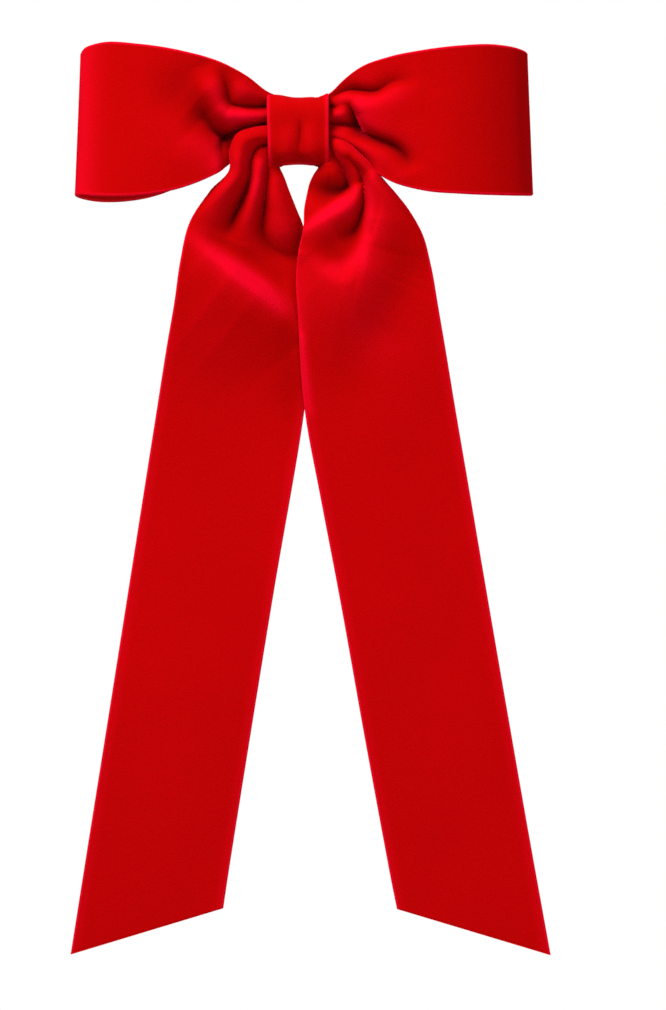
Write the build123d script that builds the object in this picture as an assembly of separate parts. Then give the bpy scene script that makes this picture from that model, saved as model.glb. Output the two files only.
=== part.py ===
"""Cheer hair bow: two ribbon loops and two long tails on a sprung hair barrette.

Millimetres. +Z is up as the bow is worn, -Y is the side that is seen, +Y is the hair side.
The origin is the centre of the barrette plate's hair-side face, level with the knot.
"""

import os
from math import cos, radians, sqrt, tan

from build123d import *

# ribbon
RIBBON_WIDTH = 38.0
WRAP_WIDTH = 16.2
WRAP_THICK = 1.0
LOOP_WALL = 1.2

# loops, measured from the knot's centre
LEFT_FOLD_X = -58.8
RIGHT_FOLD_X = 61.8
LOOP_FRONT_Y = -15.5
LOOP_MID_Y = -6.0
LOOP_BACK_Y = 1.2
LOOP_FRONT_SHAPE = ((0.34, 2.2), (0.62, 0.0), (0.86, 3.0))
LOOP_BACK_SHAPE = ((0.86, 1.2), (0.62, 0.0), (0.36, 2.0))
LEFT_FOLD_CORNERS = ((LEFT_FOLD_X + 1.5, 21.0), (LEFT_FOLD_X, -17.2))
RIGHT_FOLD_CORNERS = ((RIGHT_FOLD_X - 1.5, 20.5), (RIGHT_FOLD_X, -16.6))
LOOP_JOIN = 0.2

# waist: the gathered middles inside the knot
WAIST_HALF_X = 8.4
WAIST_BACK_Y = -2.0
WAIST_FRONT_Y = -11.2
WAIST_TOP_Z = 8.4
WAIST_BOTTOM_Z = -0.6
WAIST_CHAMFER = 2.0
WAIST_OVERLAP = 0.4
ROLL_RADIUS = 3.6
ROLL_Y = WAIST_BACK_Y - ROLL_RADIUS
ROLL_Z = -4.8
THREAD_BAND = 3.0
THREAD_THICK = 0.6

# tails
SHOULDER_THICK = 4.8
SHOULDER_END_Z = -16.0
SWING_Z = -18.7
SWING_RADIUS = 2.4
TAIL_THICK = 1.4
TAIL_THIN_Z = -70.0
LEFT_HANG_DEG = 9.0
RIGHT_HANG_DEG = 9.8
TAIL_CUT_RISE = 12.2
LEFT_TIP_Z = -217.2
RIGHT_TIP_Z = -217.4

# knot
WRAP_FIT = 0.1
WRAP_FRONT_HALF_Z = 7.0
WRAP_FRONT_EASE = 0.2
WRAP_FRONT_CORNER = 1.6
WRAP_BACK_CORNER = 1.0
STITCH_X = (-6, -3, 0, 3, 6)
STITCH_HALF_X = 0.3
STITCH_HALF_Z = 1.2
STITCH_THICK = 0.3
GLUE_HALF_X = 7.5
GLUE_HALF_Z = 4.5

# barrette
PLATE_R = 115.0
PLATE_THICK = 0.8
PLATE_WIDTH = 10.0
PLATE_HALF = 40.0
SEWING_HOLE_R = 0.8
SEWING_HOLE_X = 25.0
HINGE_X = -34.5
HINGE_Y = 10.2
CATCH_X = 34.5
PIN_R = 0.6
RUNNING_GAP = 0.04
KNUCKLE_R = 1.3
PIN_OVERHANG = 0.3
PIN_HEAD_R = 0.95
PIN_HEAD = 0.6
EAR_INNER_Z = 3.5
EAR_HALF_X = 1.6
SHEET = 0.5
FOOT_HALF_X = 2.6
FOOT_ROOT = 0.3
CATCH_FOOT_HALF_Z = 4.0
ARM_THICK = 0.8
ARM_MIDDLE_Y = 9.2
ARM_HALF_WIDTH = 3.1
ARM_END_HALF_WIDTH = 4.6
WINDOW_HALF_Z = 3.3
WINDOW_HALF_X = 2.4
WINDOW_RIM = 1.6
ARM_FAR_X = CATCH_X + WINDOW_HALF_X + WINDOW_RIM
ARM_NEAR_X = CATCH_X - WINDOW_HALF_X - WINDOW_RIM
STRIP_THICK = 0.35
STRIP_HALF_WIDTH = 2.3
STRIP_RIVET_X = -27.0
STRIP_HEEL = 2.2
STRIP_BEND = 3.0
STRIP_DROP = 0.3
STRIP_SEAT = 0.02
STRIP_MIDDLE = (0.0, 7.0)
STRIP_END = (27.0, 8.9)
STRIP_SHANK_R = 0.7
STRIP_HEAD_R = 1.3
STRIP_SHANK_FRONT = 1.2
STRIP_SHANK_BACK = 1.4
STRIP_FRONT_HEAD = 1.0
STRIP_BACK_HEAD = 0.7
PRONG_THICK = 0.5
PRONG_HALF_X = 1.9
PRONG_Z = 2.4
PRONG_BASE_Y = 7.3
PRONG_TOP_Y = 12.9
PRONG_ROOT_GAP = 0.3
HOOK_HEIGHT = 1.0
HOOK_CLEARANCE = 0.15
RIVET_R = 1.0
RIVET_HEAD_R = 1.8
RIVET_HEAD = 0.45
RIVET_BED = 0.3

# long enough to cut through anything it meets
THROUGH_LOW = -5.0
THROUGH_HIGH = 15.0
STADIUM_LOW = -10.0
STADIUM_DEPTH = 40.0
ARC_REACH = 60.0
TALL = 8.0
WIDE = 200.0
DEEP = 5.0


def sheet_xy(face, low_z, high_z):
    """A face drawn in X and Y, given its width from low_z to high_z."""
    return extrude(Pos(0, 0, low_z) * face, high_z - low_z, dir=(0, 0, 1))


def sheet_xz(edges, low_y, high_y):
    """A closed outline drawn in X and Z, given its depth from low_y to high_y."""
    face = make_face(edges)
    return extrude(Pos(0, low_y, 0) * face, high_y - low_y, dir=(0, 1, 0))


def line_xz(*points):
    return Polyline(*[(x, 0, z) for x, z in points])


def spline_xz(*points):
    return Spline(*[(x, 0, z) for x, z in points])


def bar(low, high):
    """A box between two corners."""
    size = [h - l for l, h in zip(low, high)]
    centre = [(h + l) / 2 for l, h in zip(low, high)]
    return Pos(*centre) * Box(*size)


def rod_x(radius, low_x, high_x, y, z):
    return Pos((low_x + high_x) / 2, y, z) * Rot(0, 90, 0) * Cylinder(radius, high_x - low_x)


def rod_y(radius, low_y, high_y, x, z):
    return Pos(x, (low_y + high_y) / 2, z) * Rot(90, 0, 0) * Cylinder(radius, high_y - low_y)


def rod_z(radius, low_z, high_z, x, y):
    return Pos(x, y, (low_z + high_z) / 2) * Cylinder(radius, high_z - low_z)


def plate_back_y(x):
    """Where the plate's hair-side face lies."""
    return PLATE_R - sqrt(PLATE_R**2 - x**2)


# ---------------------------------------------------------------- ribbon loops

# each loop's upper and lower edge, from the knot out to its fold
LEFT_TOP = [(-7.5, 8.4), (-13.5, 14.5), (-27.7, 20.7), (-41.8, 23.0), (-53.1, 23.2)]
LEFT_BOTTOM = [(-49.5, -18.6), (-34.6, -16.4), (-17.3, -9.4), (-8.0, -0.6)]
RIGHT_TOP = [(7.5, 8.4), (16.3, 16.8), (37.7, 22.2), (48.7, 22.9), (57.5, 22.0)]
RIGHT_BOTTOM = [(37.7, -16.1), (22.3, -11.9), (15.0, -6.0), (8.0, -0.6)]


def loop_ring(fold_x):
    """The loop seen from above: a teardrop with a ribbon wall round an open hollow."""
    side = 1 if fold_x > 0 else -1
    reach = abs(fold_x)
    waist_x = side * (WAIST_HALF_X - LOOP_JOIN)
    half = LOOP_WALL / 2
    rings = []
    for inset in (0, LOOP_WALL):
        fold = (side * (reach - inset), LOOP_MID_Y)
        front = [(waist_x, WAIST_FRONT_Y + half + inset)]
        back = [fold]
        for share, behind in LOOP_FRONT_SHAPE:
            front.append((side * reach * share, LOOP_FRONT_Y + behind + inset))
        for share, ahead in LOOP_BACK_SHAPE:
            back.append((side * reach * share, LOOP_BACK_Y - ahead - inset))
        front.append(fold)
        back.append((waist_x, WAIST_BACK_Y - half - inset))
        outline = [Spline(*front), Spline(*back), Line(back[-1], front[0])]
        rings.append(sheet_xy(make_face(outline), -RIBBON_WIDTH, RIBBON_WIDTH))
    return rings[0] - rings[1]


def loop_silhouette(top, bottom, corner_top, corner_bottom):
    edges = [
        spline_xz(*top),
        line_xz(top[-1], corner_top, corner_bottom, bottom[0]),
        spline_xz(*bottom),
        line_xz(bottom[-1], top[0]),
    ]
    return sheet_xz(edges, LOOP_FRONT_Y - DEEP, LOOP_BACK_Y + DEEP)


def waist_block(half_x, inset):
    """The loops' gathered middle, with its corners rounded off by the gathers."""
    block = bar(
        (-half_x, WAIST_FRONT_Y + inset, WAIST_BOTTOM_Z + inset),
        (half_x, WAIST_BACK_Y - inset, WAIST_TOP_Z - inset),
    )
    return chamfer(block.edges().filter_by(Axis.X), WAIST_CHAMFER)


def waist_thread():
    """Thread wound round the loops' gathered middle, in the groove that it pulls."""
    band = THREAD_BAND / 2
    return waist_block(band, 0) - waist_block(band, THREAD_THICK)


def loop_ribbon():
    waist = waist_block(WAIST_HALF_X + WAIST_OVERLAP, 0)
    left = loop_ring(LEFT_FOLD_X) & loop_silhouette(LEFT_TOP, LEFT_BOTTOM, *LEFT_FOLD_CORNERS)
    right = loop_ring(RIGHT_FOLD_X) & loop_silhouette(RIGHT_TOP, RIGHT_BOTTOM, *RIGHT_FOLD_CORNERS)
    return waist - waist_thread() + left + right


# ---------------------------------------------------------------- ribbon tails

# each shoulder's outline, from the roll's end round by the swing line to under the knot
LEFT_SHOULDER = [
    (-8.3, -1.6),
    (-17.2, -10.4),
    (-23.6, SHOULDER_END_Z),
    (-2.7, SHOULDER_END_Z),
    (-5.1, -9.9),
    (-8.3, -9.9),
]
RIGHT_SHOULDER = [
    (8.3, -1.6),
    (15.0, -7.4),
    (22.1, -13.0),
    (25.4, SHOULDER_END_Z),
    (2.4, SHOULDER_END_Z),
    (5.6, -9.9),
    (8.3, -9.9),
]
# each tail's outer and inner edge, from the swing line down to where it hangs straight
LEFT_OUTER = [(-25.9, SWING_Z), (-28.7, -24.0), (-31.0, -34.1), (-33.4, -49.4)]
LEFT_INNER = [(-1.6, SWING_Z), (-0.6, -34.9), (0.0, -49.7), (1.2, -73.5)]
RIGHT_OUTER = [(27.6, SWING_Z), (32.8, -26.8), (35.0, -34.9), (37.1, -47.0)]
RIGHT_INNER = [(1.9, SWING_Z), (0.3, -34.9), (0.7, -49.7), (2.0, -73.5)]


def roll_thread():
    """Thread wound round the tails' bunched middle."""
    band = THREAD_BAND / 2
    outer = rod_x(ROLL_RADIUS, -band, band, ROLL_Y, ROLL_Z)
    inner = rod_x(ROLL_RADIUS - THREAD_THICK, -band, band, ROLL_Y, ROLL_Z)
    return outer - inner


def tail_gather():
    """The bunched roll through the knot, with a pleated shoulder at each side."""
    roll = rod_x(ROLL_RADIUS, -WAIST_HALF_X, WAIST_HALF_X, ROLL_Y, ROLL_Z) - roll_thread()
    half = SHOULDER_THICK / 2
    shoulders = [
        sheet_xz([line_xz(*outline, outline[0])], ROLL_Y - half, ROLL_Y + half)
        for outline in (LEFT_SHOULDER, RIGHT_SHOULDER)
    ]
    return roll + shoulders[0] + shoulders[1]


def tail_profile():
    """A tail seen from the side: thick where it is pleated, and one ribbon thick below."""
    half = TAIL_THICK / 2
    low_z = SWING_Z - WIDE - TAIL_CUT_RISE
    points = [
        (SWING_RADIUS, SWING_Z),
        (half, TAIL_THIN_Z),
        (half, low_z),
        (-half, low_z),
        (-half, TAIL_THIN_Z),
        (-SWING_RADIUS, SWING_Z),
    ]
    outline = Polyline(*[(0, ROLL_Y + y, z) for y, z in points], close=True)
    return extrude(Pos(-WIDE / 2, 0, 0) * make_face(outline), WIDE, dir=(1, 0, 0))


def tail(outer, inner, hang_deg, tip_z, side):
    """One hanging end: outer and inner run down from the swing line, and the cut rises inwards."""
    lean = tan(radians(hang_deg))
    tip = (outer[-1][0] + side * lean * (outer[-1][1] - tip_z), tip_z)
    width = RIBBON_WIDTH / cos(radians(hang_deg))
    inner_z = tip_z + TAIL_CUT_RISE
    inner_x = tip[0] - side * (width + lean * TAIL_CUT_RISE)
    edges = [
        spline_xz(*outer),
        line_xz(outer[-1], tip, (inner_x, inner_z), inner[-1]),
        spline_xz(*inner),
        line_xz(inner[0], outer[0]),
    ]
    sheet = sheet_xz(edges, ROLL_Y - DEEP, ROLL_Y + DEEP) & tail_profile()
    ends = sorted((outer[0][0], inner[0][0]))
    rounded_top = rod_x(SWING_RADIUS, ends[0], ends[1], ROLL_Y, SWING_Z)
    return sheet + rounded_top


def left_tail():
    return tail(LEFT_OUTER, LEFT_INNER, LEFT_HANG_DEG, LEFT_TIP_Z, -1)


def right_tail():
    return tail(RIGHT_OUTER, RIGHT_INNER, RIGHT_HANG_DEG, RIGHT_TIP_Z, 1)


# ---------------------------------------------------------------- knot

WRAP_BACK_Y = plate_back_y(WRAP_WIDTH / 2) + WRAP_FIT / 2


def wrap_outline(grow):
    """The knot's ring seen from the side, round the ribbon bulk and the plate."""
    half_z = WAIST_TOP_Z + WRAP_FIT + grow
    points = [
        (WAIST_FRONT_Y - WRAP_FRONT_EASE - grow, WRAP_FRONT_HALF_Z + grow / 2),
        (WAIST_FRONT_Y + WRAP_FRONT_CORNER, half_z),
        (WAIST_BACK_Y - WRAP_BACK_CORNER, half_z),
        (WRAP_BACK_Y + grow, PLATE_WIDTH / 2 + WRAP_FIT + grow / 2),
    ]
    mirrored = [(y, -z) for y, z in reversed(points)]
    return Polyline(*[(0, y, z) for y, z in points + mirrored], close=True)


def knot_wrap():
    rings = []
    for grow in (WRAP_THICK, 0):
        face = Pos(-WRAP_WIDTH / 2, 0, 0) * make_face(wrap_outline(grow))
        rings.append(extrude(face, WRAP_WIDTH, dir=(1, 0, 0)))
    return rings[0] - rings[1]


def wrap_end_stitches():
    """Five whip stitches across the wrap's free end, on the hair side."""
    face_y = WRAP_BACK_Y + WRAP_THICK
    stitches = []
    for x in STITCH_X:
        low = (x - STITCH_HALF_X, face_y, -STITCH_HALF_Z)
        stitches.append(bar(low, (x + STITCH_HALF_X, face_y + STITCH_THICK, STITCH_HALF_Z)))
    return Compound(children=stitches)


def glue_pad():
    """Hot-melt adhesive between the gathered ribbons and the plate."""
    low = (-GLUE_HALF_X, WAIST_BACK_Y, -GLUE_HALF_Z)
    return bar(low, (GLUE_HALF_X, -PLATE_THICK, GLUE_HALF_Z))


# ---------------------------------------------------------------- barrette


def arc_band(radius, thick, low_x, high_x):
    """A strip seen from above, bent to a radius about a centre on the hair side."""
    centre = Pos(0, PLATE_R)
    ring = centre * (Circle(radius + thick) - Circle(radius))
    window = Pos((low_x + high_x) / 2, PLATE_R - radius) * Rectangle(high_x - low_x, ARC_REACH)
    return ring & window


def plate_band(half_z):
    """The plate's bent strip, before its ends are rounded."""
    return sheet_xy(arc_band(PLATE_R, PLATE_THICK, -PLATE_HALF, PLATE_HALF), -half_z, half_z)


def hole_y(radius, x):
    """A straight hole through whatever is drilled, towards the hair side."""
    return rod_y(radius, THROUGH_LOW, THROUGH_HIGH, x, 0)


def base_plate():
    outline = SlotOverall(2 * PLATE_HALF, PLATE_WIDTH)
    face = Pos(0, STADIUM_LOW, 0) * Rot(-90, 0, 0) * outline
    plate = plate_band(PLATE_WIDTH / 2) & extrude(face, STADIUM_DEPTH, dir=(0, 1, 0))
    for sewing_x, rivet_x in ((-SEWING_HOLE_X, HINGE_X), (SEWING_HOLE_X, CATCH_X)):
        plate -= hole_y(SEWING_HOLE_R, sewing_x)
        plate -= hole_y(RIVET_R, rivet_x)
    return plate


def rivet_at(x, low_y, high_y):
    """A shank with a low head at each end."""
    shank = rod_y(RIVET_R, low_y, high_y, x, 0)
    heads = rod_y(RIVET_HEAD_R, low_y - RIVET_HEAD, low_y, x, 0)
    return shank + heads + rod_y(RIVET_HEAD_R, high_y, high_y + RIVET_HEAD, x, 0)


def foot_top_y(x):
    return plate_back_y(abs(x) + FOOT_HALF_X) + SHEET


def foot(x, half_z):
    """A flat foot on the plate's bent face, shaped to its curve and drilled for a rivet."""
    block = bar((x - FOOT_HALF_X, 0, -half_z), (x + FOOT_HALF_X, foot_top_y(x), half_z))
    hollow = Pos(0, PLATE_R, 0) * Cylinder(PLATE_R, 4 * half_z)
    return (block & hollow) - hole_y(RIVET_R, x)


def riveted(x):
    """A rivet through the plate and a foot, its front head bedded on the plate's curve."""
    body = rivet_at(x, plate_back_y(x) - PLATE_THICK - RIVET_BED, foot_top_y(x))
    return body - (plate_band(PLATE_WIDTH) - hole_y(RIVET_R, x))


def hinge_bracket():
    outer_z = EAR_INNER_Z + SHEET
    root_y = foot_top_y(HINGE_X) - FOOT_ROOT
    bracket = foot(HINGE_X, outer_z)
    for low_z, high_z in ((EAR_INNER_Z, outer_z), (-outer_z, -EAR_INNER_Z)):
        ear = bar((HINGE_X - EAR_HALF_X, root_y, low_z), (HINGE_X + EAR_HALF_X, HINGE_Y, high_z))
        ear += rod_z(EAR_HALF_X, low_z, high_z, HINGE_X, HINGE_Y)
        bracket += ear - rod_z(PIN_R, low_z, high_z, HINGE_X, HINGE_Y)
    return bracket


def bracket_rivet():
    return riveted(HINGE_X)


def hinge_pin():
    reach = EAR_INNER_Z + SHEET + PIN_OVERHANG
    pin = rod_z(PIN_R, -reach, reach, HINGE_X, HINGE_Y)
    pin += rod_z(PIN_HEAD_R, reach, reach + PIN_HEAD, HINGE_X, HINGE_Y)
    return pin + rod_z(PIN_HEAD_R, -reach - PIN_HEAD, -reach, HINGE_X, HINGE_Y)


def arm_band():
    """The arm's gently bowed strip seen from above, through its middle and its two ends."""
    centre_x = (HINGE_X + CATCH_X) / 2
    edges = []
    for y in (0, ARM_THICK):
        ends = [(x, HINGE_Y + y) for x in (HINGE_X, ARM_FAR_X)]
        edges.append(ThreePointArc(ends[0], (centre_x, ARM_MIDDLE_Y + y), ends[1]))
    inner, outer = edges
    return make_face([inner, Line(inner @ 1, outer @ 1), outer, Line(outer @ 0, inner @ 0)])


def clasp_arm():
    """The arm: a knuckle round the pin, a bowed strip, and a windowed end over the catch."""
    arm = sheet_xy(arm_band(), -ARM_HALF_WIDTH, ARM_HALF_WIDTH)
    window_frame = sheet_xy(arm_band(), -ARM_END_HALF_WIDTH, ARM_END_HALF_WIDTH)
    arm += window_frame & bar((ARM_NEAR_X, 0, -TALL), (ARM_FAR_X + 1, THROUGH_HIGH, TALL))
    arm += rod_z(KNUCKLE_R, -ARM_HALF_WIDTH, ARM_HALF_WIDTH, HINGE_X, HINGE_Y)
    arm -= rod_z(PIN_R + RUNNING_GAP, -TALL, TALL, HINGE_X, HINGE_Y)
    window_low = (CATCH_X - WINDOW_HALF_X, 0, -WINDOW_HALF_Z)
    arm -= bar(window_low, (CATCH_X + WINDOW_HALF_X, THROUGH_HIGH, WINDOW_HALF_Z))
    return arm - hole_y(STRIP_SHANK_R, STRIP_RIVET_X)


def arm_inner_y(x):
    """Where the arm's face towards the plate lies."""
    half_span = (ARM_FAR_X - HINGE_X) / 2
    rise = HINGE_Y - ARM_MIDDLE_Y
    middle_x = (HINGE_X + ARM_FAR_X) / 2
    radius = (half_span**2 + rise**2) / (2 * rise)
    return ARM_MIDDLE_Y + radius - sqrt(radius**2 - (x - middle_x) ** 2)


def strip_band():
    """The tension strip bows from under the arm towards the plate and back."""
    heel_x = STRIP_RIVET_X - STRIP_HEEL
    seat_y = arm_inner_y(STRIP_RIVET_X) - STRIP_SEAT
    path = [
        (heel_x, arm_inner_y(heel_x)),
        (STRIP_RIVET_X, seat_y),
        (STRIP_RIVET_X + STRIP_BEND, seat_y - STRIP_DROP),
        STRIP_MIDDLE,
        STRIP_END,
    ]
    front = Spline(*[(x, y - STRIP_THICK) for x, y in path])
    back = Spline(*path)
    return make_face([front, Line(front @ 1, back @ 1), back, Line(back @ 0, front @ 0)])


def tension_strip():
    strip = sheet_xy(strip_band(), -STRIP_HALF_WIDTH, STRIP_HALF_WIDTH)
    return strip - clasp_arm() - hole_y(STRIP_SHANK_R, STRIP_RIVET_X)


def strip_rivet():
    seat_y = arm_inner_y(STRIP_RIVET_X)
    low_y = seat_y - STRIP_SHANK_FRONT
    high_y = seat_y + STRIP_SHANK_BACK
    rivet = rod_y(STRIP_SHANK_R, low_y, high_y, STRIP_RIVET_X, 0)
    rivet += rod_y(STRIP_HEAD_R, low_y, low_y + STRIP_FRONT_HEAD, STRIP_RIVET_X, 0)
    rivet += rod_y(STRIP_HEAD_R, high_y - STRIP_BACK_HEAD, high_y, STRIP_RIVET_X, 0)
    return rivet - clasp_arm() - tension_strip()


def catch_block(low_y, high_y, first_z, second_z):
    """A block as long as the catch, between two depths and two heights."""
    low_z, high_z = sorted((first_z, second_z))
    return bar((CATCH_X - PRONG_HALF_X, low_y, low_z), (CATCH_X + PRONG_HALF_X, high_y, high_z))


def catch_saddle():
    """The catch's foot, with a low wall under each prong."""
    root_y = foot_top_y(CATCH_X) - FOOT_ROOT
    wall_y = PRONG_BASE_Y - PRONG_ROOT_GAP
    saddle = foot(CATCH_X, CATCH_FOOT_HALF_Z)
    for side in (-1, 1):
        saddle += catch_block(root_y, wall_y, side * PRONG_Z, side * (PRONG_Z + PRONG_THICK))
    return saddle


def catch_rivet():
    return riveted(CATCH_X)


def catch_prong(side):
    """One prong of the catch, with its outward hook past the arm's window."""
    inner_z = side * PRONG_Z
    outer_z = side * (PRONG_Z + PRONG_THICK)
    hook_z = side * (WINDOW_HALF_Z - HOOK_CLEARANCE)
    blade = catch_block(PRONG_BASE_Y, PRONG_TOP_Y, inner_z, outer_z)
    ends = (CATCH_X - PRONG_HALF_X, CATCH_X + PRONG_HALF_X)
    blade += rod_x(PRONG_THICK / 2, *ends, PRONG_BASE_Y, (inner_z + outer_z) / 2)
    return blade + catch_block(PRONG_TOP_Y - HOOK_HEIGHT, PRONG_TOP_Y, inner_z, hook_z)


def catch_prong_upper():
    return catch_prong(1)


def catch_prong_lower():
    return catch_prong(-1)


NODES = {
    "loop_ribbon": loop_ribbon,
    "tail_gather": tail_gather,
    "left_tail": left_tail,
    "right_tail": right_tail,
    "knot_wrap": knot_wrap,
    "loop_gather_thread": waist_thread,
    "tail_gather_thread": roll_thread,
    "wrap_end_stitches": wrap_end_stitches,
    "glue_pad": glue_pad,
    "base_plate": base_plate,
    "hinge_bracket": hinge_bracket,
    "bracket_rivet": bracket_rivet,
    "hinge_pin": hinge_pin,
    "clasp_arm": clasp_arm,
    "tension_strip": tension_strip,
    "strip_rivet": strip_rivet,
    "catch_saddle": catch_saddle,
    "catch_rivet": catch_rivet,
    "catch_prong_upper": catch_prong_upper,
    "catch_prong_lower": catch_prong_lower,
}

os.makedirs("parts", exist_ok=True)
for name, make in NODES.items():
    export_step(make(), f"parts/{name}.step")
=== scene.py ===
"""Velvet cheer hair bow on a sprung barrette: the looks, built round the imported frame.

Shapes are worked out in millimetres, with the knot's centre at X 0, Z 0, and made in metres.
"""

import math

import bpy
import numpy as np
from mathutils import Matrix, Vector


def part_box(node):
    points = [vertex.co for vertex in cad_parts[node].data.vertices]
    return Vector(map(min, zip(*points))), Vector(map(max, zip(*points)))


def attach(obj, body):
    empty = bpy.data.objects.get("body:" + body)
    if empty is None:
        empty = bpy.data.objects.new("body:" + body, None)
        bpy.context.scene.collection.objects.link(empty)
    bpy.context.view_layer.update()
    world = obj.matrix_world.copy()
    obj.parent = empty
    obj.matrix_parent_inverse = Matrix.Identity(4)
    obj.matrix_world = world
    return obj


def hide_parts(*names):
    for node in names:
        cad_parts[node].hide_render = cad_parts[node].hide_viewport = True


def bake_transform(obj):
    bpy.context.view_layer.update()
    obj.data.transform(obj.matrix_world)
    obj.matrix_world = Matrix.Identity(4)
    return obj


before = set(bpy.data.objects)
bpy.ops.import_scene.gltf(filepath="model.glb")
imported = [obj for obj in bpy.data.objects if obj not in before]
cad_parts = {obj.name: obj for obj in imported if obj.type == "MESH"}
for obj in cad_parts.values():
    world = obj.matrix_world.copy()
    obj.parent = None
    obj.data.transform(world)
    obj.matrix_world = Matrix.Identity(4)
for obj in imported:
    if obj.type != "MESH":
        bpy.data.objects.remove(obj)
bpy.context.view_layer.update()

MM = 0.001

# ribbon stock
RIBBON_WIDTH = 38.0
RIBBON_HALF_THICK = 0.42
WRAP_RIBBON_WIDTH = 16.2
WRAP_HALF_THICK = 0.4
SELVEDGE_WIDTH = 0.75
SELVEDGE_RISE = 0.06
SELVEDGE_RISE_PLACE = 0.5
SELVEDGE_RISE_WIDTH = 0.33
EDGE_ROUNDING = 0.3
EDGE_THINNEST = 0.15
SEALED_END = 0.55

# how finely ribbons are cut into a mesh
ROW_STEP = 0.6
WRAP_ROW_STEP = 0.35
SELVEDGE_STEPS = (0.0, 0.12, 0.3, 0.55, 0.85, 1.2, 1.7)
COLUMN_STEP = 0.62
PATH_PIECES = 24

# how strongly a fold's own curve, and the wider one round it, paint shade into its hollows and a highlight
# onto its ridges
FOLD_DEPTH = 0.9
TIGHT_REACH = 3
BROAD_REACH = 9
TIGHT_SHARE = 0.6
BROAD_SHARE = 0.4

# a crease's foot: how sharp it is, and how quickly its sides come up
CREASE_FOOT = 0.04
CREASE_RATE = 1.2

# view
VIEW_CENTRE = (9.24, -98.6)
VIEW_DISTANCE = 746.0
LENS = 100.0
SENSOR = 36.0
OUTLINE_PLANE = -5.7

# studio, in metres and watts
WORLD_LIGHT = 0.55
FLOOR_RADIUS = 0.25
FLOOR_HEIGHT = -0.46
FLOOR_SIDES = 64
BOW_CENTRE = (0, 0, -0.08)


# ---------------------------------------------------------------- curves and folds


def hermite(rows, slope, knots, i, at):
    """Points of a smooth line through rows, at the places at, each lying after row i."""
    width = knots[i + 1] - knots[i]
    t = ((at - knots[i]) / width)[:, None]
    w = width[:, None]
    h00 = 2 * t**3 - 3 * t**2 + 1
    h10 = t**3 - 2 * t**2 + t
    h01 = -2 * t**3 + 3 * t**2
    h11 = t**3 - t**2
    return h00 * rows[i] + h10 * w * slope[i] + h01 * rows[i + 1] + h11 * w * slope[i + 1]


def flowing(rows, step):
    """Rows of numbers joined by one smooth line, resampled about every step along the first three."""
    rows = np.array(rows, float)
    reach = np.linalg.norm(np.diff(rows[:, :3], axis=0), axis=1)
    knots = np.concatenate([[0], np.cumsum(np.maximum(reach, 1e-6))])
    slope = np.gradient(rows, knots, axis=0)
    count = max(2, int(round(knots[-1] / step)) + 1)
    at = np.linspace(0, knots[-1], count)
    i = np.clip(np.searchsorted(knots, at, side="right") - 1, 0, len(knots) - 2)
    return hermite(rows, slope, knots, i, at), at


def ease(value, low, high):
    t = np.clip((value - low) / (high - low), 0, 1)
    return t * t * (3 - 2 * t)


def bell(distance, width):
    """1 at no distance, dying away over the width."""
    return np.exp(-((distance / width) ** 2))


def along_path(x, z, path):
    """Distance from each point to a smooth path in the front view, its share along it, and its side.

    The side is +1 to the left hand of someone walking the path, and -1 to the right hand.
    """
    path = np.array(path, float)
    stations = np.concatenate([[0], np.cumsum(np.linalg.norm(np.diff(path, axis=0), axis=1))])
    slope = np.gradient(path, stations, axis=0)
    at = np.linspace(0, stations[-1], PATH_PIECES + 1)
    i = np.clip(np.searchsorted(stations, at, side="right") - 1, 0, len(stations) - 2)
    path = hermite(path, slope, stations, i, at)
    pieces = np.diff(path, axis=0)
    lengths = np.linalg.norm(pieces, axis=1)
    starts = np.concatenate([[0], np.cumsum(lengths)])
    best = np.full(x.shape, 1e9)
    place = np.zeros(x.shape)
    side = np.ones(x.shape)
    for a, d, length, start in zip(path[:-1], pieces, lengths, starts):
        px, pz = x - a[0], z - a[1]
        t = np.clip((px * d[0] + pz * d[1]) / length**2, 0, 1)
        gap = np.hypot(px - t * d[0], pz - t * d[1])
        closer = gap < best
        best = np.where(closer, gap, best)
        place = np.where(closer, (start + t * length) / starts[-1], place)
        side = np.where(closer, np.sign(d[0] * pz - d[1] * px), side)
    return best, place, side


def along(place, values):
    return np.interp(place, np.linspace(0, 1, len(values)), values)


def crease(x, z, path, depth, width):
    """A valley between two rolls: narrow at its foot, rounding over at its lips."""
    gap, place, _ = along_path(x, z, path)
    away = np.sqrt((gap / along(place, width)) ** 2 + CREASE_FOOT) - math.sqrt(CREASE_FOOT)
    return -along(place, depth) * np.exp(-CREASE_RATE * away)


def swell(x, z, path, height, width):
    """A rounded ridge, or a soft hollow where height is negative."""
    gap, place, _ = along_path(x, z, path)
    return along(place, height) * bell(gap, along(place, width))


def lip(x, z, path, height, steep, gentle):
    """A turned-over fold: it drops quickly on the path's left hand and dies away slowly on its right."""
    gap, place, side = along_path(x, z, path)
    wide = np.where(side > 0, along(place, steep), along(place, gentle))
    return along(place, height) * bell(gap, wide)


def raised(x, z, folds):
    """The height of all the folds together: each is a kind of fold, its path, and its numbers along it."""
    return sum(kind(x, z, *shape) for kind, *shape in folds)


def softened(field, reach):
    """The field with everything narrower than a few mesh steps smoothed away."""
    window = 2 * reach + 1
    for axis in (0, 1):
        padding = [(reach, reach) if a == axis else (0, 0) for a in range(2)]
        padded = np.pad(field, padding, mode="edge")
        size = field.shape[axis]
        shifted = [np.take(padded, range(k, k + size), axis=axis) for k in range(window)]
        field = sum(shifted) / window
    return field


def bent(field, reach):
    """How far each point stands out from the cloth round it, within the reach."""
    return field - softened(softened(field, reach), reach)


# ---------------------------------------------------------------- meshes


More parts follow.
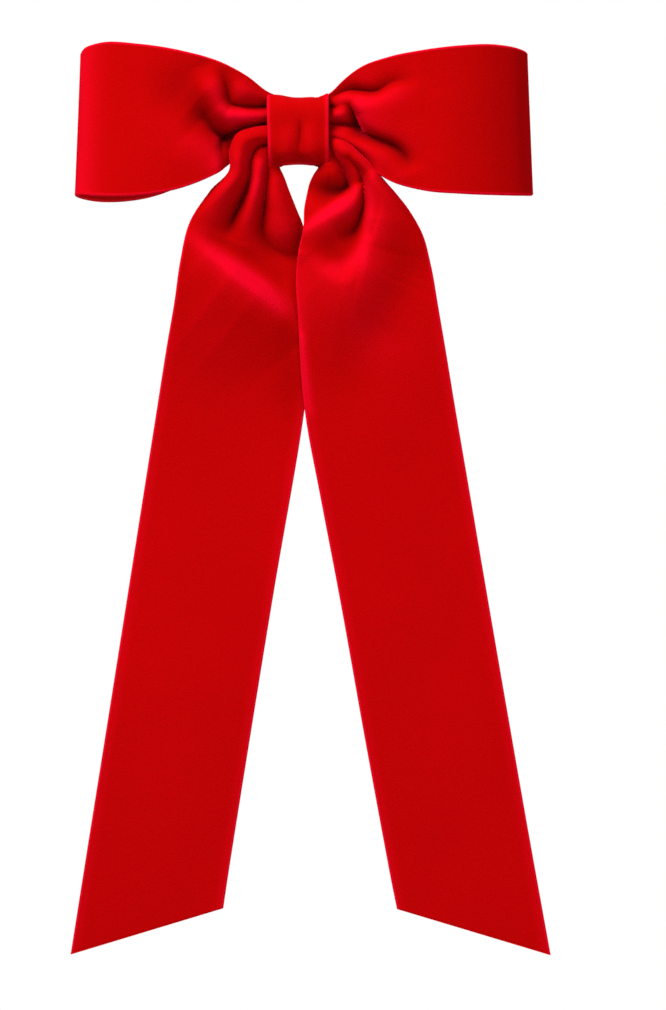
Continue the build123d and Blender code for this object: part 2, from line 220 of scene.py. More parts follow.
def new_piece(name, verts, faces, materials=(), indices=None):
    mesh = bpy.data.meshes.new(name)
    mesh.from_pydata([tuple(v) for v in verts], [], faces)
    for material in materials:
        mesh.materials.append(material)
    if indices is not None:
        mesh.polygons.foreach_set("material_index", indices)
    mesh.polygons.foreach_set("use_smooth", [True] * len(mesh.polygons))
    mesh.update()
    piece = bpy.data.objects.new(name, mesh)
    bpy.context.scene.collection.objects.link(piece)
    return piece


def across(width):
    """Places across a ribbon, closer together at its woven edges."""
    edge = np.array(SELVEDGE_STEPS)
    inner = width - 2 * edge[-1]
    middle = np.linspace(edge[-1], edge[-1] + inner, max(2, int(round(inner / COLUMN_STEP)) + 1))
    return np.concatenate([edge[:-1], middle, width - edge[:-1][::-1]]) / width


def surface_normals(middle):
    du = np.gradient(middle, axis=0)
    dv = np.gradient(middle, axis=1)
    n = np.cross(du, dv)
    return n / np.maximum(np.linalg.norm(n, axis=2, keepdims=True), 1e-9)


def at_depth(middle):
    """Moves outlines drawn on one upright plane to where they stand at their depth, seen from the front."""
    share = (VIEW_DISTANCE + middle[:, :, 1]) / (VIEW_DISTANCE + OUTLINE_PLANE)
    placed = middle.copy()
    placed[:, :, 0] = VIEW_CENTRE[0] + (middle[:, :, 0] - VIEW_CENTRE[0]) * share
    placed[:, :, 2] = VIEW_CENTRE[1] + (middle[:, :, 2] - VIEW_CENTRE[1]) * share
    return placed


def both_faces(values):
    """The same values for a ribbon's pile face and its back, one row to a mesh point."""
    flat = values.reshape(-1, *values.shape[2:])
    return np.concatenate([flat, flat])


def ribbon_faces(rows, columns):
    """Faces of the pile side, the back, and the four edges between them; the back's are numbered 1."""
    grid = np.arange(rows * columns).reshape(rows, columns)
    shift = rows * columns
    a, b, c, d = grid[:-1, :-1], grid[1:, :-1], grid[1:, 1:], grid[:-1, 1:]
    front = np.stack([a, b, c, d], axis=2).reshape(-1, 4)
    back = np.stack([a, d, c, b], axis=2).reshape(-1, 4) + shift
    edges = []
    for line in (grid[:, 0][::-1], grid[:, -1], grid[0], grid[-1][::-1]):
        p, q = line[:-1], line[1:]
        edges.append(np.stack([p + shift, q + shift, q, p], axis=1))
    faces = np.concatenate([front, back, *edges])
    indices = np.zeros(len(faces), int)
    indices[len(front): len(front) + len(back)] = 1
    return faces, indices


def ribbon(name, middle, relief, nap_and_painted_light, lengthwise, v, width, materials, half=RIBBON_HALF_THICK):
    """A closed length of ribbon round a middle surface, with firm selvedges and sealed ends."""
    rows, columns = middle.shape[:2]
    n = surface_normals(middle)
    from_edge = np.minimum(v, 1 - v) * width
    body = half * (1 + SELVEDGE_RISE * bell(from_edge - SELVEDGE_RISE_PLACE, SELVEDGE_RISE_WIDTH))
    rounding = np.clip(from_edge / EDGE_ROUNDING, 0, 1)
    body *= np.sqrt(rounding * (1 - EDGE_THINNEST) + EDGE_THINNEST)
    thick = np.repeat(body[None, :], rows, axis=0)
    thick[[0, -1]] *= SEALED_END
    front = middle + n * thick[:, :, None]
    back = middle - n * thick[:, :, None]
    verts = np.concatenate([front.reshape(-1, 3), back.reshape(-1, 3)]) * MM
    faces, indices = ribbon_faces(rows, columns)
    piece = new_piece(name, verts, faces.tolist(), materials, indices)
    uv_grid = np.stack(np.broadcast_arrays(lengthwise[:, None] * MM, v[None, :] * width * MM), axis=2)
    layer = piece.data.uv_layers.new(name="ribbon")
    corner_verts = np.zeros(len(piece.data.loops), int)
    piece.data.loops.foreach_get("vertex_index", corner_verts)
    layer.data.foreach_set("uv", both_faces(uv_grid)[corner_verts].ravel())
    # painted light: the fold attribute paints shade where the cloth dips below the cloth round it and a
    # highlight where it stands out, and adds the painted highlight and shade bands passed in
    tight = bent(relief, TIGHT_REACH) / FOLD_DEPTH
    broad = bent(relief, BROAD_REACH) / (BROAD_REACH / TIGHT_REACH * FOLD_DEPTH)
    fold = softened(TIGHT_SHARE * tight + BROAD_SHARE * broad + nap_and_painted_light, 1)
    fold = np.clip(fold, -1, 1) / 2 + 0.5
    shown = piece.data.attributes.new("fold", "FLOAT", "POINT")
    shown.data.foreach_set("value", both_faces(fold))
    return piece


# ---------------------------------------------------------------- materials


class Shade:
    """A small helper that strings a material's nodes together."""

    def __init__(self, name):
        self.material = bpy.data.materials.new(name)
        self.material.use_nodes = True
        self.tree = self.material.node_tree
        self.shader = self.tree.nodes["Principled BSDF"]

    def node(self, kind, **settings):
        made = self.tree.nodes.new(kind)
        for key, value in settings.items():
            setattr(made, key, value)
        return made

    def link(self, source, target):
        self.tree.links.new(source, target)

    def set(self, **values):
        for key, value in values.items():
            self.shader.inputs[key.replace("_", " ")].default_value = value

    def coordinates(self, kind="Object", uv_map=None):
        if uv_map:
            return self.node("ShaderNodeUVMap", uv_map=uv_map).outputs["UV"]
        return self.node("ShaderNodeTexCoord").outputs[kind]

    def noise(self, vector, scale, detail=3.0, roughness=0.55):
        made = self.node("ShaderNodeTexNoise")
        made.inputs["Scale"].default_value = scale
        made.inputs["Detail"].default_value = detail
        made.inputs["Roughness"].default_value = roughness
        self.link(vector, made.inputs["Vector"])
        return made.outputs["Fac"]

    def maths(self, operation, first, second=None):
        made = self.node("ShaderNodeMath", operation=operation)
        for socket, value in zip(made.inputs, (first, second)):
            if value is None:
                continue
            if isinstance(value, (int, float)):
                socket.default_value = value
            else:
                self.link(value, socket)
        return made.outputs[0]

    def ramp(self, value, stops):
        made = self.node("ShaderNodeValToRGB")
        elements = made.color_ramp.elements
        while len(elements) < len(stops):
            elements.new(0.5)
        for element, (place, colour) in zip(elements, stops):
            element.position = place
            element.color = (*colour, 1)
        self.link(value, made.inputs["Fac"])
        return made.outputs["Color"]

    def bump(self, height, distance, strength=1.0, normal=None):
        made = self.node("ShaderNodeBump")
        made.inputs["Distance"].default_value = distance
        made.inputs["Strength"].default_value = strength
        self.link(height, made.inputs["Height"])
        if normal is not None:
            self.link(normal, made.inputs["Normal"])
        return made.outputs["Normal"]

    def mix(self, factor, first, second, blend="MIX"):
        made = self.node("ShaderNodeMix", data_type="RGBA", blend_type=blend)
        for socket, value in ((made.inputs[0], factor), (made.inputs[6], first), (made.inputs[7], second)):
            if isinstance(value, (int, float)):
                socket.default_value = value
            elif isinstance(value, tuple):
                socket.default_value = (*value, 1)
            else:
                self.link(value, socket)
        return made.outputs[2]


def edge_line(shade, width_mm):
    """1 on the woven selvedge at both sides of a ribbon, 0 on its pile."""
    uv = shade.coordinates(uv_map="ribbon")
    split = shade.node("ShaderNodeSeparateXYZ")
    shade.link(uv, split.inputs[0])
    v = split.outputs["Y"]
    near = shade.maths("MINIMUM", v, shade.maths("SUBTRACT", width_mm * MM, v))
    inside = shade.maths("DIVIDE", near, SELVEDGE_WIDTH * MM)
    line = shade.maths("SUBTRACT", 1.0, shade.maths("MINIMUM", inside, 1.0))
    return shade.maths("MINIMUM", shade.maths("MULTIPLY", line, 2.5), 1.0)


def velvet(name, width_mm):
    """Cut pile, with painted shade, a darker red, in the hollows of folds, and a painted pinkish highlight
    on their ridges and painted bands.
    """
    shade = Shade(name)
    place = shade.coordinates()
    nap_and_painted_light = shade.noise(place, 38.0, 2.0, 0.5)
    pile = shade.noise(place, 2600.0, 2.0, 0.7)
    fold = shade.node("ShaderNodeAttribute", attribute_name="fold").outputs["Fac"]
    # painted light: low values of the fold attribute give painted shade, high ones a pinkish painted
    # highlight
    colour = shade.ramp(fold, [
        (0.0, (0.090, 0.0002, 0.0003)),
        (0.28, (0.180, 0.0002, 0.0003)),
        (0.5, (0.232, 0.0002, 0.0003)),
        (0.75, (0.300, 0.0004, 0.0026)),
        (1.0, (0.385, 0.0006, 0.0075)),
    ])
    drift = shade.ramp(nap_and_painted_light, [(0.30, (0.94, 0.94, 0.94)), (0.72, (1.0, 1.0, 1.0))])
    colour = shade.mix(1.0, colour, drift, "MULTIPLY")
    speckle = shade.ramp(pile, [(0.3, (0.86, 0.86, 0.86)), (0.7, (1.0, 1.0, 1.0))])
    colour = shade.mix(1.0, colour, speckle, "MULTIPLY")
    selvedge = edge_line(shade, width_mm)
    colour = shade.mix(selvedge, colour, (0.32, 0.0007, 0.006))
    shade.link(colour, shade.shader.inputs["Base Color"])
    shade.link(shade.bump(pile, 0.00018, 0.7), shade.shader.inputs["Normal"])
    shade.set(Roughness=0.9)
    shade.shader.inputs["Sheen Weight"].default_value = 0.5
    shade.shader.inputs["Specular IOR Level"].default_value = 0.008
    shade.shader.inputs["Sheen Roughness"].default_value = 0.36
    shade.shader.inputs["Sheen Tint"].default_value = (1.0, 0.0016, 0.026, 1)
    return shade.material


def woven_back(name, width_mm):
    """The ribbon's smooth woven back: a fine rib across the ribbon, in a red lighter than the pile side's,
    partly as painted light where the loops' insides lie in shade.
    """
    shade = Shade(name)
    uv = shade.coordinates(uv_map="ribbon")
    rib = shade.node("ShaderNodeTexWave", wave_type="BANDS", bands_direction="X")
    rib.inputs["Scale"].default_value = 900.0
    rib.inputs["Distortion"].default_value = 0.6
    rib.inputs["Detail"].default_value = 2.0
    shade.link(uv, rib.inputs["Vector"])
    # the back's own red, made lighter in part as painted light inside the loops
    colour = shade.ramp(rib.outputs["Fac"], [(0.0, (0.29, 0.0005, 0.0012)), (1.0, (0.37, 0.0008, 0.0022))])
    selvedge = edge_line(shade, width_mm)
    colour = shade.mix(selvedge, colour, (0.38, 0.002, 0.005))
    shade.link(colour, shade.shader.inputs["Base Color"])
    shade.link(shade.bump(rib.outputs["Fac"], 0.00004, 0.5), shade.shader.inputs["Normal"])
    shade.set(Roughness=0.6)
    shade.shader.inputs["Specular IOR Level"].default_value = 0.02
    shade.shader.inputs["Sheen Weight"].default_value = 0.12
    shade.shader.inputs["Sheen Tint"].default_value = (1.0, 0.01, 0.04, 1)
    return shade.material


def thread_material():
    shade = Shade("sewing_thread")
    twist = shade.node("ShaderNodeTexWave", wave_type="BANDS", bands_direction="DIAGONAL")
    twist.inputs["Scale"].default_value = 1200.0
    shade.link(shade.coordinates(), twist.inputs["Vector"])
    colour = shade.ramp(twist.outputs["Fac"], [(0.0, (0.20, 0.002, 0.003)), (1.0, (0.42, 0.006, 0.009))])
    shade.link(colour, shade.shader.inputs["Base Color"])
    shade.link(shade.bump(twist.outputs["Fac"], 0.0001, 0.7), shade.shader.inputs["Normal"])
    shade.set(Roughness=0.5)
    shade.shader.inputs["Sheen Weight"].default_value = 0.3
    return shade.material


def metal(name, low, high, roughness, direction):
    """Plated stamped steel: fine drawn lines, faint handling marks, rougher where it is worn."""
    shade = Shade(name)
    place = shade.coordinates()
    mapping = shade.node("ShaderNodeMapping")
    mapping.inputs["Scale"].default_value = direction
    shade.link(place, mapping.inputs["Vector"])
    lines = shade.noise(mapping.outputs["Vector"], 900.0, 3.0, 0.6)
    marks = shade.noise(place, 420.0, 4.0, 0.6)
    colour = shade.ramp(marks, [(0.35, low), (0.7, high)])
    shade.link(colour, shade.shader.inputs["Base Color"])
    gloss = shade.node("ShaderNodeMapRange")
    gloss.inputs["To Min"].default_value = roughness - 0.04
    gloss.inputs["To Max"].default_value = roughness + 0.07
    shade.link(marks, gloss.inputs["Value"])
    shade.link(gloss.outputs["Result"], shade.shader.inputs["Roughness"])
    shade.link(shade.bump(lines, 0.00003, 0.5), shade.shader.inputs["Normal"])
    shade.set(Metallic=1.0)
    return shade.material


def adhesive():
    shade = Shade("hot_melt_adhesive")
    cloud = shade.noise(shade.coordinates(), 400.0, 4.0)
    colour = shade.ramp(cloud, [(0.3, (0.72, 0.68, 0.56)), (0.7, (0.86, 0.84, 0.76))])
    shade.link(colour, shade.shader.inputs["Base Color"])
    shade.link(shade.bump(cloud, 0.0002, 0.6), shade.shader.inputs["Normal"])
    shade.set(Roughness=0.32)
    return shade.material


VELVET = velvet("ribbon_velvet", RIBBON_WIDTH)
VELVET_BACK = woven_back("ribbon_back", RIBBON_WIDTH)
WRAP_VELVET = velvet("knot_velvet", WRAP_RIBBON_WIDTH)
WRAP_BACK = woven_back("knot_back", WRAP_RIBBON_WIDTH)
THREAD = thread_material()
NICKEL = metal("nickel_plate", (0.50, 0.495, 0.48), (0.58, 0.57, 0.555), 0.22, (1.0, 6.0, 6.0))
SPRING = metal("spring_steel", (0.36, 0.37, 0.39), (0.44, 0.45, 0.47), 0.26, (1.0, 8.0, 8.0))
ADHESIVE = adhesive()


# ---------------------------------------------------------------- the loops

# x, y, upper edge, lower edge, all round the strip: from the waist's back, out round the
# left loop to the waist's front, and out round the right loop to the waist's back again
LOOP_ROUTE = [
    (4.0, -3.0, 7.6, -0.8),
    (-4.0, -3.1, 7.8, -0.8),
    (-9.0, -3.1, 9.4, -2.0),
    (-14.5, -2.4, 13.0, -6.8),
    (-23.0, -1.1, 16.6, -9.4),
    (-34.0, 0.2, 19.4, -15.8),
    (-45.0, 0.1, 20.6, -18.5),
    (-53.0, -1.6, 20.4, -18.5),
    (-56.3, -3.8, 19.6, -17.8),
    (-57.7, -6.3, 20.0, -17.2),
    (-56.9, -9.2, 21.9, -16.8),
    (-53.2, -12.0, 23.3, -17.0),
    (-42.0, -14.6, 23.1, -16.9),
    (-31.0, -15.0, 21.4, -15.0),
    (-20.4, -13.8, 18.3, -10.6),
    (-13.5, -11.9, 14.5, -6.2),
    (-8.4, -10.3, 10.6, -2.0),
    (-3.5, -9.7, 9.0, -0.8),
    (3.5, -9.7, 8.8, -0.8),
    (8.4, -10.4, 10.2, -2.4),
    (11.3, -11.3, 13.0, -4.6),
    (16.3, -12.6, 16.8, -7.6),
    (23.7, -13.9, 19.6, -12.8),
    (33.0, -14.9, 21.5, -15.6),
    (43.0, -14.9, 22.7, -16.5),
    (53.0, -12.7, 22.9, -16.9),
    (58.6, -9.6, 21.9, -17.0),
    (60.9, -6.3, 20.7, -16.9),
    (60.0, -3.6, 20.0, -16.0),
    (54.0, -1.4, 20.2, -15.6),
    (44.0, 0.1, 19.8, -14.8),
    (33.0, 0.2, 18.2, -13.0),
    (22.0, -1.2, 15.2, -9.6),
    (14.0, -2.4, 11.6, -5.4),
    (9.0, -3.2, 8.6, -1.8),
    (4.0, -4.0, 7.6, -0.8),
    (-4.0, -4.2, 7.6, -0.8),
]
# the far folds lean, splaying out towards their foot
FOLD_LEAN = 0.040
FOLD_LEANING = (38.0, 58.0)
FOLD_MIDDLE = 2.0
# pairs of numbers from here on are where something begins and where it is complete
LOOP_FRONT_DEPTHS = (6.0, 9.0)
OUT_OF_KNOT = (2.0, 8.5)
# the lower edge tucks back behind the tails beside the knot: how far, and where
LOOP_TUCK = 4.5
TUCK_DOWN = (-1.0, 5.0)
TUCK_IN = (-22.0, -15.0)
TUCK_RIGHT = (-6.0, 0.0)
TUCK_RIGHT_SLOPE = 0.55
# long soft waves keep the open cloth from looking pressed flat
LOOP_WAVE = 0.3
OPEN_CLOTH = (26.0, 40.0)
LOOP_WAVE_DOWN = 9.0
LOOP_WAVE_ALONG = 13.0

# folds of the left loop's front, as they leave the knot
LEFT_LOOP_FOLDS = [
    (
        crease, [(-7.0, 6.6), (-13.0, 6.5), (-17.2, 7.0), (-18.7, 12.0), (-20.8, 17.0)],
        [3.0, 3.2, 3.2, 2.2, 0.3], [1.4, 1.5, 1.8, 2.2, 2.8],
    ),
    (
        crease, [(-7.0, 1.6), (-14.3, 0.7), (-17.4, -0.9), (-20.3, -0.6), (-23.2, 2.5), (-28.0, 6.5)],
        [3.6, 4.2, 4.6, 3.6, 2.0, 0.2], [1.4, 1.7, 2.2, 2.8, 4.0, 6.0],
    ),
    (crease, [(-18.0, -1.5), (-19.6, -4.4), (-19.0, -9.0)], [2.6, 2.2, 0.8], [1.9, 2.2, 2.2]),
    (
        lip, [(-8.0, 4.2), (-15.0, 3.8), (-19.4, 5.4), (-22.2, 10.5), (-25.0, 17.5)],
        [1.4, 2.2, 2.6, 2.2, 0.5], [1.9, 2.3, 2.7, 3.2, 4.0], [2.4, 2.8, 3.2, 3.6, 4.0],
    ),
    (swell, [(-8.5, 8.4), (-14.0, 10.5), (-20.5, 17.0)], [0.8, 1.7, 0.5], [2.2, 3.0, 3.4]),
    (swell, [(-20.0, -2.0), (-25.6, 4.6), (-30.5, 8.4)], [-1.1, -2.3, -1.3], [3.6, 5.8, 6.4]),
    (swell, [(-29.0, -4.5), (-21.5, -8.5)], [0.4, 0.4], [5.0, 3.2]),
    (swell, [(-24.5, 17.0), (-33.0, 13.0)], [-1.0, -0.5], [3.4, 6.0]),
]

# painted light on the loops: bands of painted highlight and painted shade laid along their folds and fold
# edges
LOOP_PAINTED_LIGHT = [
    (swell, [(-57.4, 22.0), (-57.6, -17.0)], [0.75, 0.675], [4.2, 4.2]),
    (swell, [(60.0, 20.0), (61.0, -16.0)], [-0.25, -0.25], [16.0, 16.0]),
    (swell, [(61.6, 20.0), (62.2, -16.0)], [0.5, 0.5], [1.2, 1.2]),
    (swell, [(-30.0, 8.0), (-27.0, 5.0), (-21.5, 0.0)], [-0.06, -0.04, 0.0], [4.0, 4.6, 3.4]),
    (swell, [(-20.0, 16.0), (-25.0, 13.0)], [-0.3, -0.1], [3.0, 4.0]),
    (swell, [(-9.5, 4.2), (-16.0, 4.6)], [0.25, 0.3], [1.5, 2.0]),
    (swell, [(17.0, 4.6), (25.0, 3.0)], [0.12, 0.0], [2.4, 4.0]),
    (swell, [(14.0, 8.6), (21.0, 8.2), (27.0, 10.6)], [0.15, 0.25, 0.1], [1.2, 1.5, 2.0]),
    (
        swell, [(14.0, 1.4), (21.0, -2.2), (25.0, -4.0), (28.5, -7.4)],
        [-0.2, -0.4, -0.4, -0.15], [1.4, 1.6, 1.8, 2.4],
    ),
    (swell, [(11.0, -0.6), (17.0, -2.8), (24.0, -6.8)], [-0.4, -0.45, -0.25], [1.8, 2.2, 3.0]),
]

# folds of the right loop's front, as they leave the knot
RIGHT_LOOP_FOLDS = [
    (crease, [(7.5, 6.4), (9.8, 6.1)], [3.6, 1.6], [1.5, 1.5]),
    (
        crease, [(9.4, 9.4), (12.4, 10.7), (20.8, 10.6), (25.1, 12.8), (31.5, 13.4)],
        [1.2, 2.8, 2.6, 1.6, 0.2], [1.4, 1.7, 2.0, 2.6, 3.6],
    ),
    (
        lip, [(12.5, 8.4), (20.0, 7.8), (26.0, 10.4), (33.0, 10.8)],
        [0.9, 1.5, 1.2, 0.2], [1.7, 2.0, 2.5, 3.2], [2.4, 4.0, 6.0, 7.0],
    ),
    (swell, [(8.0, 4.3), (11.6, 4.4)], [1.0, 1.6], [1.7, 1.8]),
    (crease, [(13.5, 6.8), (14.2, 4.2), (15.2, 0.8)], [2.2, 4.2, 3.8], [1.4, 2.0, 1.9]),
    (
        crease,
        [(7.5, 2.0), (13.5, 1.5), (16.4, -0.6), (21.1, -2.4), (25.1, -4.0), (28.2, -6.7), (30.0, -11.0)],
        [3.2, 3.8, 3.8, 3.6, 3.4, 2.6, 0.3], [1.3, 1.5, 1.7, 1.8, 2.0, 2.4, 3.2],
    ),
    (
        lip, [(33.0, -6.0), (27.5, -2.0), (22.0, 0.6), (17.0, 4.2)],
        [0.2, 0.6, 1.0, 1.0], [2.6, 2.0, 2.0, 2.2], [7.0, 7.0, 6.0, 4.0],
    ),
    (
        swell, [(8.5, -0.2), (15.0, -2.8), (21.0, -6.0), (27.0, -11.0)],
        [0.9, 1.2, 1.2, 0.6], [1.4, 2.0, 2.6, 3.6],
    ),
]

# plain gathers on the head side of both loops, fanning out from the waist
BACK_FOLDS = [
    (
        crease, [(7.0, start), (14.0, (start * 2 + end) / 3), (27.0, end)],
        [depth, depth, 0.1], [1.4, 1.8, 3.0],
    )
    for start, end, depth in ((5.4, 13.0, 1.5), (2.6, 4.0, 1.9), (0.6, -5.5, 1.5))
]


def loop_ribbon():
    """One length of ribbon round both loops, with the folds of its front and the gathers of its back."""
    # the route's first three columns set how finely it is cut: x, y and the mean height
    table = [(x, y, (top + low) / 2, top, low) for x, y, top, low in LOOP_ROUTE]
    rows, length = flowing(table, ROW_STEP)
    v = across(RIBBON_WIDTH)
    x, y = rows[:, 0:1], rows[:, 1:2]
    top, low = rows[:, 3:4], rows[:, 4:5]
    z = low + (top - low) * v[None, :]
    run = np.gradient(rows[:, :2], axis=0)
    run /= np.linalg.norm(run, axis=1, keepdims=True)
    outward = np.stack([run[:, 1], -run[:, 0]], axis=1)
    lean = FOLD_LEAN * ease(np.abs(x), *FOLD_LEANING)
    xs = x - np.sign(x) * lean * (z - FOLD_MIDDLE)
    ys = np.repeat(y, len(v), axis=1)
    front = ease(-y, *LOOP_FRONT_DEPTHS)
    relief = front * np.where(x < 0, raised(xs, z, LEFT_LOOP_FOLDS), raised(xs, z, RIGHT_LOOP_FOLDS))
    relief += (1 - front) * raised(np.abs(xs), z, BACK_FOLDS)
    shown = ease(np.abs(x), *OUT_OF_KNOT)
    relief *= shown
    tuck = ease(-z, *TUCK_DOWN) * ease(-np.abs(xs), *TUCK_IN) * front
    tuck *= np.where(xs < 0, 1.0, ease(-z - np.abs(xs) * TUCK_RIGHT_SLOPE, *TUCK_RIGHT))
    relief -= LOOP_TUCK * tuck
    calm = ease(np.abs(xs), *OPEN_CLOTH) * front
    relief += calm * LOOP_WAVE * np.sin(z / LOOP_WAVE_DOWN + np.sign(x) * xs / LOOP_WAVE_ALONG)
    middle = np.stack([
        xs + outward[:, 0:1] * relief,
        ys + outward[:, 1:2] * relief,
        z,
    ], axis=2)
    middle = at_depth(middle)
    # painted highlight and painted shade in bands on the loops' fronts
    nap_and_painted_light = front * shown * raised(xs, z, LOOP_PAINTED_LIGHT)
    return ribbon(
        "loop_ribbon_velvet", middle, relief, nap_and_painted_light, length, v, RIBBON_WIDTH,
        (VELVET, VELVET_BACK),
    )


# ---------------------------------------------------------------- the tails

# outer edge x, z, depth y, inner edge x, z, depth y, and the share of a half turn its outer edge makes,
# from inside the knot down to the cut
LEFT_TAIL_ROUTE = [
    (-1.5, 0.6, -7.0, -1.5, -8.2, -6.0, 1.0),
    (-7.4, 1.6, -11.6, -4.4, -9.3, -7.6, 1.0),
    (-12.3, 1.0, -13.6, -5.0, -10.0, -8.2, 1.0),
    (-16.2, -0.6, -14.8, -3.8, -12.4, -8.4, 1.0),
    (-18.0, -4.4, -15.0, -2.4, -16.0, -8.4, 1.0),
    (-18.1, -9.9, -14.4, -0.6, -20.4, -8.0, 0.9),
    (-23.2, -15.7, -13.4, 1.2, -24.6, -7.4, 0.5),
    (-28.4, -23.4, -12.2, 2.8, -30.5, -6.6, 0.24),
    (-31.0, -34.1, -10.8, 3.2, -40.5, -6.0, 0.08),
    (-32.5, -44.5, -9.6, 3.4, -50.0, -5.6, 0.02),
    (-34.5, -56.0, -8.4, 3.2, -60.5, -5.4, 0.0),
    (-37.2, -73.0, -7.2, 1.5, -75.0, -5.4, 0.0),
    (-43.6, -113.7, -5.6, -6.2, -120.5, -5.6, 0.0),
    (-50.0, -154.2, -5.8, -12.8, -161.0, -5.8, 0.0),
    (-55.5, -188.7, -5.6, -18.0, -193.6, -5.4, 0.0),
    (-60.0, -217.2, -5.0, -19.7, -205.0, -5.0, 0.0),
]
RIGHT_TAIL_ROUTE = [
    (1.5, -1.4, -7.0, 1.5, -8.2, -6.0, 1.0),
    (7.6, -1.3, -11.4, 4.9, -9.2, -7.8, 1.0),
    (12.2, -2.4, -13.8, 5.6, -9.8, -8.8, 1.0),
    (16.6, -6.0, -15.0, 4.2, -11.8, -9.6, 1.0),
    (20.3, -9.9, -14.8, 2.9, -14.2, -10.0, 1.0),
    (23.6, -13.8, -13.8, 1.8, -19.4, -10.4, 0.66),
    (29.6, -21.1, -12.0, 1.4, -26.0, -10.4, 0.36),
    (32.8, -26.8, -10.8, 0.2, -31.6, -10.0, 0.22),
    (35.0, -34.9, -9.6, -0.4, -38.6, -9.4, 0.1),
    (37.1, -46.8, -8.6, 0.1, -49.6, -8.8, 0.03),
    (38.8, -56.7, -7.8, 0.6, -61.0, -8.0, 0.0),
    (41.5, -73.0, -6.8, 2.1, -76.0, -7.0, 0.0),
    (44.9, -92.8, -6.3, 6.0, -97.0, -6.4, 0.0),
    (48.3, -112.8, -6.0, 10.5, -120.5, -6.0, 0.0),
    (55.2, -152.8, -5.6, 17.6, -160.0, -5.6, 0.0),
    (61.2, -187.0, -5.6, 23.8, -193.6, -5.4, 0.0),
    (66.7, -217.4, -5.0, 26.1, -205.2, -5.0, 0.0),
]
# the outer edge's turn: its radius, and the angle from which folds show on it
TURN_RADIUS = 2.6
TURN_SEEN = 1.2
# folds begin outside the knot, and nearer the middle once they are below it
SHOULDER_OUT = (6.0, 9.5)
BELOW_KNOT = (9.0, 12.0)
BELOW_KNOT_SHIFT = 12.0
# the cloth billows below the pleats, and hangs in slow waves below that
TAIL_BILLOW = 0.9
BILLOW_DOWN = (8.0, 25.0)
HANG_WAVE = 0.5
HANG_DOWN = (55.0, 95.0)
HANG_WAVE_DOWN = 23.0
HANG_WAVE_ACROSS = 21.0
# the tails' colour set a little lighter all over, and a painted highlight in a thin line beside the
# selvedges
TAIL_LIGHTENING = 0.06
EDGE_PAINTED_HIGHLIGHT = 0.28
EDGE_PAINTED_HIGHLIGHT_PLACE = 1.3
EDGE_PAINTED_HIGHLIGHT_WIDTH = 0.7
EDGE_PAINTED_HIGHLIGHT_DOWN = (30.0, 60.0)

# pleats of the left tail's shoulder, and the soft fold under them
LEFT_TAIL_FOLDS = [
    (
        crease,
        [(-8.0, -3.4), (-10.6, -4.0), (-12.4, -7.0), (-12.8, -12.5), (-14.4, -17.0), (-16.8, -22.0),
         (-19.0, -28.5)],
        [2.6, 2.8, 3.2, 4.6, 4.4, 3.0, 0.3], [1.0, 1.0, 1.2, 1.8, 2.1, 2.6, 4.2],
    ),
    (
        crease,
        [(-8.0, -8.5), (-8.3, -13.0), (-9.2, -20.7), (-9.4, -26.8), (-6.3, -31.5), (-1.8, -33.0),
         (2.0, -33.0)],
        [1.4, 2.2, 3.2, 3.3, 2.8, 2.0, 1.2], [1.2, 1.4, 1.8, 2.4, 3.2, 3.8, 4.2],
    ),
    (
        swell, [(-9.8, -9.0), (-11.4, -16.0), (-13.2, -23.0), (-14.0, -29.0)],
        [1.4, 2.0, 1.6, 0.4], [1.6, 2.1, 2.8, 3.8],
    ),
    (swell, [(-5.8, -14.0), (-3.4, -26.0)], [0.9, 1.4], [2.6, 3.6]),
    (swell, [(-16.0, -8.0), (-20.5, -18.0), (-24.0, -25.0)], [0.8, 1.2, 0.8], [2.6, 3.4, 4.0]),
    (
        lip,
        [(-30.5, -27.5), (-24.0, -33.0), (-16.5, -39.0), (-10.0, -44.0), (-3.0, -50.5), (1.0, -55.0)],
        [0.8, 3.2, 4.4, 4.2, 3.0, 1.6], [3.4, 3.6, 3.8, 4.0, 4.2, 4.4], [9.0, 14.0, 18.0, 18.0, 16.0, 14.0],
    ),
    (swell, [(-22.0, -30.0), (-14.0, -34.5), (-6.0, -38.5)], [-0.5, -0.8, -0.8], [4.0, 4.6, 5.0]),
]

# pleats of the right tail's shoulder, and the turned fold under them
RIGHT_TAIL_FOLDS = [
    (
        crease, [(8.0, -3.4), (9.6, -6.4), (12.1, -10.7), (13.6, -14.6)],
        [2.4, 3.4, 4.8, 5.0], [1.3, 1.6, 2.0, 2.4],
    ),
    (swell, [(4.2, -15.4), (8.0, -16.4), (11.6, -16.2)], [-1.7, -2.8, -3.2], [3.2, 3.8, 3.0]),
    (
        lip, [(0.6, -27.6), (5.6, -24.6), (11.0, -20.4), (15.0, -15.6)],
        [1.4, 2.8, 3.2, 2.4], [2.6, 2.3, 2.0, 1.8], [7.0, 6.0, 5.0, 3.0],
    ),
    (
        crease, [(13.6, -7.0), (17.0, -12.0), (17.4, -15.0), (17.0, -20.7), (14.8, -25.4), (10.0, -28.6)],
        [1.6, 3.4, 4.2, 4.2, 3.1, 0.5], [1.3, 1.7, 1.9, 2.4, 3.3, 4.6],
    ),
    (
        lip, [(17.4, -33.0), (19.4, -24.0), (19.6, -13.0)],
        [0.8, 1.8, 1.2], [2.6, 1.9, 1.6], [8.0, 8.0, 6.0],
    ),
    (
        lip, [(2.5, -33.5), (7.0, -38.5), (12.5, -40.5), (17.0, -36.5), (19.0, -30.0)],
        [0.8, 2.6, 3.4, 2.6, 1.2], [3.2, 3.6, 3.8, 3.2, 2.6], [10.0, 13.0, 14.0, 12.0, 8.0],
    ),
    (swell, [(-0.6, -27.0), (-1.0, -39.0), (-0.2, -52.0)], [-1.0, -1.8, -0.8], [1.6, 1.9, 1.9]),
    (swell, [(29.0, -38.0), (22.0, -52.0), (15.0, -64.0)], [-0.9, -1.3, -0.8], [6.0, 8.0, 9.0]),
]
